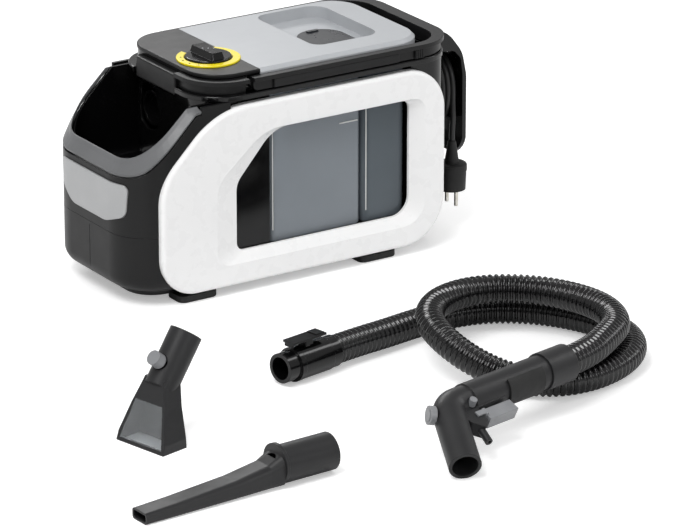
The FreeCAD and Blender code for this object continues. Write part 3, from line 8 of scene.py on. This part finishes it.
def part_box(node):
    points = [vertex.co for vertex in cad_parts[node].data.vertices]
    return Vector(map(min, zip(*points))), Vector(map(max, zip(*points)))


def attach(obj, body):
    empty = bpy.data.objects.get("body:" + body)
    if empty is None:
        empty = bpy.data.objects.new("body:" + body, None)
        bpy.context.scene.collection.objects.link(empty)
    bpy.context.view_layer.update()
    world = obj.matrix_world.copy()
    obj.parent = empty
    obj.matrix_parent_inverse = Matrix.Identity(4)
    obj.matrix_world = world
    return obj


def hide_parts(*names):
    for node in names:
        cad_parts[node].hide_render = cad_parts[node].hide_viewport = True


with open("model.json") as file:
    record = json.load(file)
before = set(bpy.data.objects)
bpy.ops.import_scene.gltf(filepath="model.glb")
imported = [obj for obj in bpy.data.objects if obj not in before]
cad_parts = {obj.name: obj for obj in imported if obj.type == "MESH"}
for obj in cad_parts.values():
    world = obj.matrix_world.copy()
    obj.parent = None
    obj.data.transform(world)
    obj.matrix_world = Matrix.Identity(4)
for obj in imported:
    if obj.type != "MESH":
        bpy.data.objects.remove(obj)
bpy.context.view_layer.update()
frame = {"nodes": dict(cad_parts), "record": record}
N = frame["nodes"]
COL = bpy.context.scene.collection


# ---------------------------------------------------------------- camera
cam_data = bpy.data.cameras.new("camera")
cam = bpy.data.objects.new("camera", cam_data)
COL.objects.link(cam)
R_, U_, F_ = Vector((0.8387, -0.5446, 0.0)), Vector((0.1889, 0.2910, 0.9379)), Vector((0.5108, 0.7866, -0.3469))
cam.matrix_world = Matrix((
    (R_.x, U_.x, -F_.x, -2.78398), (R_.y, U_.y, -F_.y, -4.50846), (R_.z, U_.z, -F_.z, 1.95449), (0, 0, 0, 1)))
cam_data.sensor_width = 36.0
cam_data.lens = 4979.0 / 679.0 * 36.0
cam_data.clip_start, cam_data.clip_end = 0.1, 60.0
bpy.context.scene.camera = cam


# ---------------------------------------------------------------- helpers
def nurbs(name, pts, bevel=0.0):
    """Smooth line with the route's points as its control points."""
    cu = bpy.data.curves.new(name, "CURVE")
    cu.dimensions = "3D"
    cu.resolution_u = 10
    sp = cu.splines.new("NURBS")
    sp.points.add(len(pts) - 1)
    for p, q in zip(sp.points, pts):
        p.co = (q[0], q[1], q[2], 1.0)
    sp.order_u = 3
    sp.use_endpoint_u = True
    sp.resolution_u = 10
    cu.bevel_depth = bevel
    cu.bevel_resolution = 5
    cu.use_fill_caps = True
    ob = bpy.data.objects.new(name, cu)
    COL.objects.link(ob)
    return ob


def line_of(ob):
    """The points of a curve's own line, in order."""
    keep = ob.data.bevel_depth
    ob.data.bevel_depth = 0.0
    me = bpy.data.meshes.new_from_object(ob)
    pts = [v.co.copy() for v in me.vertices]
    bpy.data.meshes.remove(me)
    ob.data.bevel_depth = keep
    return pts


def resample(pts, step):
    out, acc = [pts[0].copy()], 0.0
    total = sum((b - a).length for a, b in zip(pts, pts[1:]))
    n = max(2, round(total / step))
    step = total / n
    want = step
    for a, b in zip(pts, pts[1:]):
        d = (b - a).length
        while d > 0 and want <= acc + d + 1e-9:
            out.append(a.lerp(b, (want - acc) / d))
            want += step
        acc += d
    if len(out) <= n:
        out.append(pts[-1].copy())
    return out, total


def mesh_ob(name, verts, faces, smooth=True):
    me = bpy.data.meshes.new(name)
    me.from_pydata([tuple(v) for v in verts], [], faces)
    me.validate()
    me.update()
    for p in me.polygons:
        p.use_smooth = smooth
    ob = bpy.data.objects.new(name, me)
    COL.objects.link(ob)
    return ob


def sweep(name, pts, radius, seg=28, smooth=True):
    """Tube along pts; radius(i) is the radius at point i."""
    verts, faces = [], []
    t = (pts[1] - pts[0]).normalized()
    n = t.orthogonal().normalized()
    for i, p in enumerate(pts):
        a, b = pts[max(0, i - 1)], pts[min(len(pts) - 1, i + 1)]
        t2 = (b - a).normalized()
        n = (n - t2 * n.dot(t2)).normalized()
        m = t2.cross(n)
        r = radius(i)
        for k in range(seg):
            w = 2 * math.pi * k / seg
            verts.append(p + n * (r * math.cos(w)) + m * (r * math.sin(w)))
    for i in range(len(pts) - 1):
        for k in range(seg):
            a, b = i * seg + k, i * seg + (k + 1) % seg
            faces.append((a, b, b + seg, a + seg))
    faces.append(tuple(range(seg - 1, -1, -1)))
    faces.append(tuple(range((len(pts) - 1) * seg, len(pts) * seg)))
    return mesh_ob(name, verts, faces, smooth)


# ---------------------------------------------------------------- cords
HOSE = [(-102.2, -345.0, 19.2), (-57.1, -336.1, 19.2), (-11.6, -329.1, 18.3), (33.4, -319.7, 17.5), (79.0, -314.4, 16.9),
        (123.9, -323.0, 16.8), (161.4, -349.2, 17.0), (188.9, -385.9, 17.2), (206.0, -428.5, 16.9), (208.2, -474.1, 16.6),
        (185.8, -513.5, 17.4), (148.0, -539.3, 17.6), (103.6, -550.3, 16.6), (58.6, -542.6, 16.6), (23.7, -513.8, 20.3),
        (1.3, -475.4, 31.7), (-9.1, -433.8, 46.3), (2.3, -389.9, 51.5), (33.8, -357.2, 52.8), (77.6, -344.6, 52.5),
        (122.0, -354.4, 51.7), (155.9, -384.9, 51.5), (175.7, -426.2, 51.8), (180.4, -471.7, 52.1), (163.8, -513.9, 52.3),
        (127.0, -541.0, 51.7), (86.0, -563.7, 49.8), (41.2, -572.6, 49.4)]
hose_line = nurbs("hose_line", [(x / 1000, y / 1000, z / 1000) for x, y, z in HOSE])
smooth_line = line_of(hose_line)
bpy.data.objects.remove(hose_line)
RING = 10                                     # samples in one ring of the corrugation
hose_pts, hose_len = resample(smooth_line, 0.0065 / RING)
PROFILE = [16.2, 16.2, 16.05, 15.6, 14.8, 14.2, 13.9, 14.2, 14.9, 15.8]


def hose_radius(i):
    if i < 6 or i > len(hose_pts) - 7:
        return 0.0150
    return PROFILE[i % RING] / 1000


hose = sweep("hose_ribbed", hose_pts, hose_radius, seg=32)

# mains cord: up from the gland, three layers of turns on the hook, down to the plug
KEYS = [(0, 28.5, 252.5), (30, 24.5, 252.8), (60, 21.5, 254.5), (100, 21.5, 259.5), (125, 21.5, 261.0), (380, 21.5, 261.0),
        (440, 21.5, 268.0), (740, 21.5, 268.0), (800, 21.5, 275.0), (1070, 21.5, 275.0), (1100, 28.5, 275.0),
        (1370, 28.5, 275.0), (1430, 28.5, 268.0), (1730, 28.5, 268.0), (1790, 28.5, 261.0), (2060, 28.5, 261.0),
        (2090, 35.5, 261.0), (2360, 35.5, 261.0), (2420, 35.5, 268.0), (2720, 35.5, 268.0), (2780, 35.5, 275.0), (3060, 35.5, 275.0)]


def key_at(a):
    for (a0, r0, x0), (a1, r1, x1) in zip(KEYS, KEYS[1:]):
        if a <= a1:
            f = (a - a0) / (a1 - a0)
            return r0 + (r1 - r0) * f, x0 + (x1 - x0) * f
    return KEYS[-1][1:]


cord_pts = [(0.2450, 0.0285, 0.1600), (0.2482, 0.0285, 0.1600), (0.2515, 0.0284, 0.1625)]
for k in range(1, 3060 // 20 + 1):
    a = 20 * k
    r, x = key_at(a)
    w = math.radians(a)
    rc = r / 0.985
    z = 160.5 + rc * math.sin(w) + 5.5 * max(-1.0, min(1.0, 3.0 * math.sin(w)))
    cord_pts.append((x / 1000, rc * math.cos(w) / 1000, z / 1000))
cord_pts += [(0.2750, -0.0355, 0.1490), (0.2750, -0.0362, 0.1400), (0.2735, -0.0388, 0.1290), (0.2702, -0.0422, 0.1170),
             (0.2682, -0.0448, 0.1100), (0.2680, -0.0450, 0.1040)]
cord_line = nurbs("cord_line", cord_pts)
cord_smooth = line_of(cord_line)
bpy.data.objects.remove(cord_line)
cord_path, cord_len = resample(cord_smooth, 0.0015)
cord = sweep("mains_cord", cord_path, lambda i: 0.00345, seg=16)

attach(hose, "hose_set")
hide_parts("suction_hose")
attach(cord, "base")
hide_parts("cord_coil", "mains_cord_ends")


# ---------------------------------------------------------------- materials
def mat(name):
    m = bpy.data.materials.new(name)
    m.use_nodes = True
    nt = m.node_tree
    return m, nt, nt.nodes["Principled BSDF"]


def rgba(c):
    return (c[0], c[1], c[2], 1.0)


def surface(name, dark, light, rough=(0.35, 0.45), blotch=18.0, grain=1800.0, bump=0.05, dist=0.00012, coat=0.0,
            metal=0.0, spec=0.5, trans=0.0, ior=1.46, edge=0.0, streak=None, round_edge=0.0, rough_scale=60.0):
    """Moulded material: soft colour drift, roughness drift, fine surface grain and an optional lighter colour along
    sharp convex edges.
    """
    m, nt, b = mat(name)
    L = nt.links
    tc = nt.nodes.new("ShaderNodeTexCoord")
    vec = tc.outputs["Object"]
    if streak:
        mp = nt.nodes.new("ShaderNodeMapping")
        mp.inputs["Scale"].default_value = streak
        L.new(vec, mp.inputs["Vector"])
        vec = mp.outputs["Vector"]
    n1 = nt.nodes.new("ShaderNodeTexNoise")
    n1.inputs["Scale"].default_value = blotch
    n1.inputs["Detail"].default_value = 4.0
    L.new(vec, n1.inputs["Vector"])
    cr = nt.nodes.new("ShaderNodeValToRGB")
    cr.color_ramp.elements[0].position, cr.color_ramp.elements[1].position = 0.3, 0.7
    cr.color_ramp.elements[0].color, cr.color_ramp.elements[1].color = rgba(dark), rgba(light)
    L.new(n1.outputs["Fac"], cr.inputs["Fac"])
    colour = cr.outputs["Color"]
    if edge > 0:
        geo = nt.nodes.new("ShaderNodeNewGeometry")
        er = nt.nodes.new("ShaderNodeValToRGB")
        er.color_ramp.elements[0].position, er.color_ramp.elements[1].position = 0.52, 0.62
        er.color_ramp.elements[0].color, er.color_ramp.elements[1].color = (0, 0, 0, 1), (edge, edge, edge, 1)
        L.new(geo.outputs["Pointiness"], er.inputs["Fac"])
        mx = nt.nodes.new("ShaderNodeMix")
        mx.data_type = "RGBA"
        L.new(er.outputs["Color"], mx.inputs["Factor"])
        L.new(colour, mx.inputs["A"])
        mx.inputs["B"].default_value = rgba([min(1.0, c * 2.2 + 0.03) for c in light])
        colour = mx.outputs["Result"]
    L.new(colour, b.inputs["Base Color"])
    n2 = nt.nodes.new("ShaderNodeTexNoise")
    n2.inputs["Scale"].default_value = rough_scale
    n2.inputs["Detail"].default_value = 3.0
    L.new(vec, n2.inputs["Vector"])
    mr = nt.nodes.new("ShaderNodeMapRange")
    mr.inputs["From Min"].default_value, mr.inputs["From Max"].default_value = 0.3, 0.7
    mr.inputs["To Min"].default_value, mr.inputs["To Max"].default_value = rough
    L.new(n2.outputs["Fac"], mr.inputs["Value"])
    L.new(mr.outputs["Result"], b.inputs["Roughness"])
    n3 = nt.nodes.new("ShaderNodeTexNoise")
    n3.inputs["Scale"].default_value = grain
    n3.inputs["Detail"].default_value = 2.0
    L.new(vec, n3.inputs["Vector"])
    bp = nt.nodes.new("ShaderNodeBump")
    bp.inputs["Strength"].default_value = bump
    bp.inputs["Distance"].default_value = dist
    L.new(n3.outputs["Fac"], bp.inputs["Height"])
    if round_edge > 0:
        bv = nt.nodes.new("ShaderNodeBevel")
        bv.samples = 4
        bv.inputs["Radius"].default_value = round_edge
        L.new(bv.outputs["Normal"], bp.inputs["Normal"])
    L.new(bp.outputs["Normal"], b.inputs["Normal"])
    b.inputs["Metallic"].default_value = metal
    b.inputs["Specular IOR Level"].default_value = spec
    b.inputs["IOR"].default_value = ior
    b.inputs["Coat Weight"].default_value = coat
    b.inputs["Coat Roughness"].default_value = 0.08
    b.inputs["Transmission Weight"].default_value = trans
    return m


E = 0.0009
M = {
    "black_satin": surface("black_satin", (0.0050, 0.0050, 0.0053), (0.0060, 0.0060, 0.0063), (0.34, 0.40), 14, 2600, 0.06, 0.00006, spec=0.34, round_edge=E),
    "black_gloss": surface("black_gloss", (0.0025, 0.0025, 0.0027), (0.0032, 0.0032, 0.0034), (0.10, 0.15), 10, 900, 0.01, 0.00003, spec=0.4, coat=0.1, round_edge=E),
    "black_matte": surface("black_matte", (0.0085, 0.0085, 0.009), (0.0105, 0.0105, 0.011), (0.50, 0.58), 20, 2400, 0.12, 0.00008, spec=0.34, round_edge=E),
    "rubber_black": surface("rubber_black", (0.007, 0.007, 0.007), (0.010, 0.010, 0.010), (0.55, 0.7), 26, 2200, 0.2, 0.00015, round_edge=0.0006),
    "steel_screw": surface("steel_screw", (0.45, 0.45, 0.46), (0.6, 0.6, 0.61), (0.28, 0.4), 200, 1500, 0.1, metal=1.0),
    "steel_pin": surface("steel_pin", (0.52, 0.52, 0.53), (0.66, 0.66, 0.67), (0.18, 0.3), 120, 1600, 0.1, metal=1.0, streak=(1, 1, 12)),
    "trim_grey": surface("trim_grey", (0.125, 0.128, 0.132), (0.150, 0.153, 0.158), (0.32, 0.42), 12, 2400, 0.10, 0.0001, round_edge=0.0014),
    "trim_silver": surface("trim_silver", (0.40, 0.405, 0.41), (0.43, 0.435, 0.44), (0.30, 0.33), 30, 2000, 0.02, 0.00002, metal=0.25, round_edge=0.002),
    "white_gloss": surface("white_gloss", (0.90, 0.90, 0.90), (0.905, 0.905, 0.905), (0.27, 0.28), 7, 1400, 0.0, 0.00001, spec=0.35, coat=0.0),
    "grey_inner": surface("grey_inner", (0.10, 0.10, 0.105), (0.15, 0.15, 0.155), (0.4, 0.55), 22, 1900, 0.12),
    "yellow_ring": surface("yellow_ring", (0.86, 0.70, 0.0), (0.92, 0.76, 0.01), (0.25, 0.35), 60, 1800, 0.05, coat=0.2, round_edge=0.0005),
    "board_green": surface("board_green", (0.01, 0.12, 0.04), (0.02, 0.2, 0.07), (0.3, 0.4), 90, 1400, 0.1),
    "cord_black": surface("cord_black", (0.010, 0.010, 0.0105), (0.016, 0.016, 0.0165), (0.34, 0.45), 40, 1500, 0.06),
    "brass_pin": surface("brass_pin", (0.62, 0.60, 0.54), (0.75, 0.73, 0.68), (0.15, 0.25), 200, 2000, 0.05, metal=1.0),
    "tank_clear": surface("tank_clear", (0.42, 0.46, 0.50), (0.46, 0.50, 0.54), (0.12, 0.18), 9, 500, 0.02, trans=0.55, ior=1.25),
    "tank_smoke": surface("tank_smoke", (0.20, 0.235, 0.265), (0.23, 0.265, 0.295), (0.12, 0.18), 9, 500, 0.02, trans=0.55, ior=1.25),
    "lid_grey": surface("lid_grey", (0.42, 0.435, 0.455), (0.46, 0.475, 0.495), (0.28, 0.36), 8, 2000, 0.05, 0.0001, round_edge=0.0012),
    "cap_dark": surface("cap_dark", (0.012, 0.014, 0.018), (0.018, 0.020, 0.024), (0.25, 0.35), 30, 2000, 0.06, round_edge=E),
    "float_white": surface("float_white", (0.66, 0.66, 0.64), (0.76, 0.76, 0.74), (0.45, 0.6), 60, 1200, 0.2),
    "motor_steel": surface("motor_steel", (0.36, 0.36, 0.37), (0.5, 0.5, 0.52), (0.25, 0.4), 40, 1500, 0.1, metal=1.0, streak=(1, 1, 14)),
    "hose_black": surface("hose_black", (0.004, 0.004, 0.0043), (0.006, 0.006, 0.0063), (0.13, 0.18), 30, 1200, 0.03, coat=0.35),
    "grip_dark": surface("grip_dark", (0.016, 0.016, 0.017), (0.019, 0.019, 0.020), (0.36, 0.44), 22, 2400, 0.08, 0.00008, spec=0.4, round_edge=0.0014),
    "button_grey": surface("button_grey", (0.21, 0.215, 0.225), (0.25, 0.255, 0.265), (0.3, 0.4), 50, 2200, 0.08, round_edge=E),
    "window_clear": surface("window_clear", (0.80, 0.83, 0.85), (0.85, 0.88, 0.90), (0.04, 0.08), 30, 800, 0.02, trans=0.9, ior=1.4),
}
for row in frame["record"]["subparts"]:
    o = N[row["node"]]
    m = M[row["material_slot"]]
    for k in range(len(o.data.materials)):
        o.data.materials[k] = m


def paint(ob, key):
    ob.data.materials.clear()
    ob.data.materials.append(M[key])


paint(hose, "hose_black")
paint(cord, "cord_black")


# ---------------------------------------------------------------- small marks
def disc(name, centre, r, h, body, key, seg=20):
    """Low flat round mark standing on a level face."""
    vs = [(centre[0] + r * math.cos(2 * math.pi * k / seg), centre[1] + r * math.sin(2 * math.pi * k / seg), centre[2] + z)
          for z in (0.0, h) for k in range(seg)]
    fs = [tuple(range(seg - 1, -1, -1)), tuple(range(seg, 2 * seg))]
    fs += [(k, (k + 1) % seg, seg + (k + 1) % seg, seg + k) for k in range(seg)]
    ob = mesh_ob(name, vs, fs, False)
    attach(ob, body)
    paint(ob, key)
    return ob


klo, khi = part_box("dial_knob")
kc = (klo + khi) / 2
for k in (-1, 0, 1):
    disc("dial_dot_%d" % (k + 1), (kc.x + 0.0062 * k * R_.x, kc.y + 0.0062 * k * R_.y, khi.z - 0.00002), 0.0009, 0.00015, "dial", "lid_grey")
rlo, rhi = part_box("dial_ring")
rc_ = (rlo + rhi) / 2
ring_r = (rhi.x - rlo.x) / 2 - 0.0045
for k, w in enumerate((150, 172, 195, 217)):
    a_ = math.radians(w)
    disc("ring_dot_%d" % k, (rc_.x + ring_r * math.cos(a_), rc_.y + ring_r * math.sin(a_), rhi.z - 0.00002), 0.0011, 0.00015, "base", "black_gloss")


def bar(name, lo, hi, body, key):
    """Thin box between two corners."""
    vs = [(x, y, z) for x in (lo[0], hi[0]) for y in (lo[1], hi[1]) for z in (lo[2], hi[2])]
    fs = [(0, 1, 3, 2), (4, 6, 7, 5), (0, 4, 5, 1), (2, 3, 7, 6), (0, 2, 6, 4), (1, 5, 7, 3)]
    ob = mesh_ob(name, vs, fs, False)
    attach(ob, body)
    paint(ob, key)
    return ob


# painted highlights: thin light strips on the faces of the tanks that show in the window, standing in for the
# highlights along the tanks' left edges and the fresh tank's lip
flo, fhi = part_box("fresh_water_tank")
tlo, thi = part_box("waste_water_tank")
bar("fresh_tank_painted_highlight", (flo.x + 0.0035, flo.y - 0.0006, 0.060), (flo.x + 0.0045, flo.y + 0.0002, 0.190), "tanks", "float_white")
bar("fresh_tank_lip_painted_highlight", (fhi.x - 0.030, flo.y - 0.0009, 0.1690), (fhi.x - 0.006, flo.y + 0.0002, 0.1702), "tanks", "float_white")
bar("waste_tank_painted_highlight", (tlo.x + 0.0035, tlo.y - 0.0006, 0.060), (tlo.x + 0.0045, tlo.y + 0.0002, 0.190), "tanks", "float_white")


# ---------------------------------------------------------------- stage
floor = mesh_ob("floor", [(-14, -14, 0), (14, -14, 0), (14, 14, 0), (-14, 14, 0)], [(0, 1, 2, 3)], False)
fm, fnt, fb = mat("floor_pale")
fn = fnt.nodes.new("ShaderNodeTexNoise")
fn.inputs["Scale"].default_value = 1.5
fc = fnt.nodes.new("ShaderNodeValToRGB")
fc.color_ramp.elements[0].color, fc.color_ramp.elements[1].color = (0.90, 0.90, 0.90, 1), (0.93, 0.93, 0.93, 1)
fnt.links.new(fn.outputs["Fac"], fc.inputs["Fac"])
fnt.links.new(fc.outputs["Color"], fb.inputs["Base Color"])
flp = fnt.nodes.new("ShaderNodeLightPath")
fmul = fnt.nodes.new("ShaderNodeMath")
fmul.operation = "MULTIPLY"
fmul.inputs[1].default_value = 0.36
fnt.links.new(flp.outputs["Is Camera Ray"], fmul.inputs[0])
fnt.links.new(fmul.outputs["Value"], fb.inputs["Emission Strength"])
fb.inputs["Emission Color"].default_value = (1, 1, 1, 1)
fb.inputs["Roughness"].default_value = 0.8
fb.inputs["Specular IOR Level"].default_value = 0.2
floor.data.materials.append(fm)

world = bpy.data.worlds.new("studio")
world.use_nodes = True
wn, wl_ = world.node_tree.nodes, world.node_tree.links
wn["Background"].inputs["Color"].default_value = (1.0, 1.0, 1.0, 1)
lp = wn.new("ShaderNodeLightPath")
ws = wn.new("ShaderNodeMapRange")                  # white behind the object, softer as a light
ws.inputs["To Min"].default_value, ws.inputs["To Max"].default_value = 0.48, 1.0
wl_.new(lp.outputs["Is Camera Ray"], ws.inputs["Value"])
wl_.new(ws.outputs["Result"], wn["Background"].inputs["Strength"])
bpy.context.scene.world = world


def area(name, loc, target, size, power):
    d = bpy.data.lights.new(name, "AREA")
    d.shape, d.size, d.size_y, d.energy = "RECTANGLE", size[0], size[1], power
    o = bpy.data.objects.new(name, d)
    COL.objects.link(o)
    o.location = loc
    o.rotation_mode = "QUATERNION"
    o.rotation_quaternion = (Vector(target) - Vector(loc)).to_track_quat("-Z", "Y")
    return o


area("key", (-1.3, -0.9, 2.3), (0, -0.1, 0.1), (1.2, 1.2), 40)
area("side", (2.2, -0.9, 1.5), (0, -0.2, 0.1), (0.5, 1.8), 12)
area("front", (0.5, -3.2, 1.3), (0, -0.1, 0.1), (1.6, 0.6), 11)
area("back", (0.4, 2.2, 1.6), (0, 0, 0.15), (2.0, 0.5), 22)
bpy.context.scene.view_settings.view_transform = "Standard"
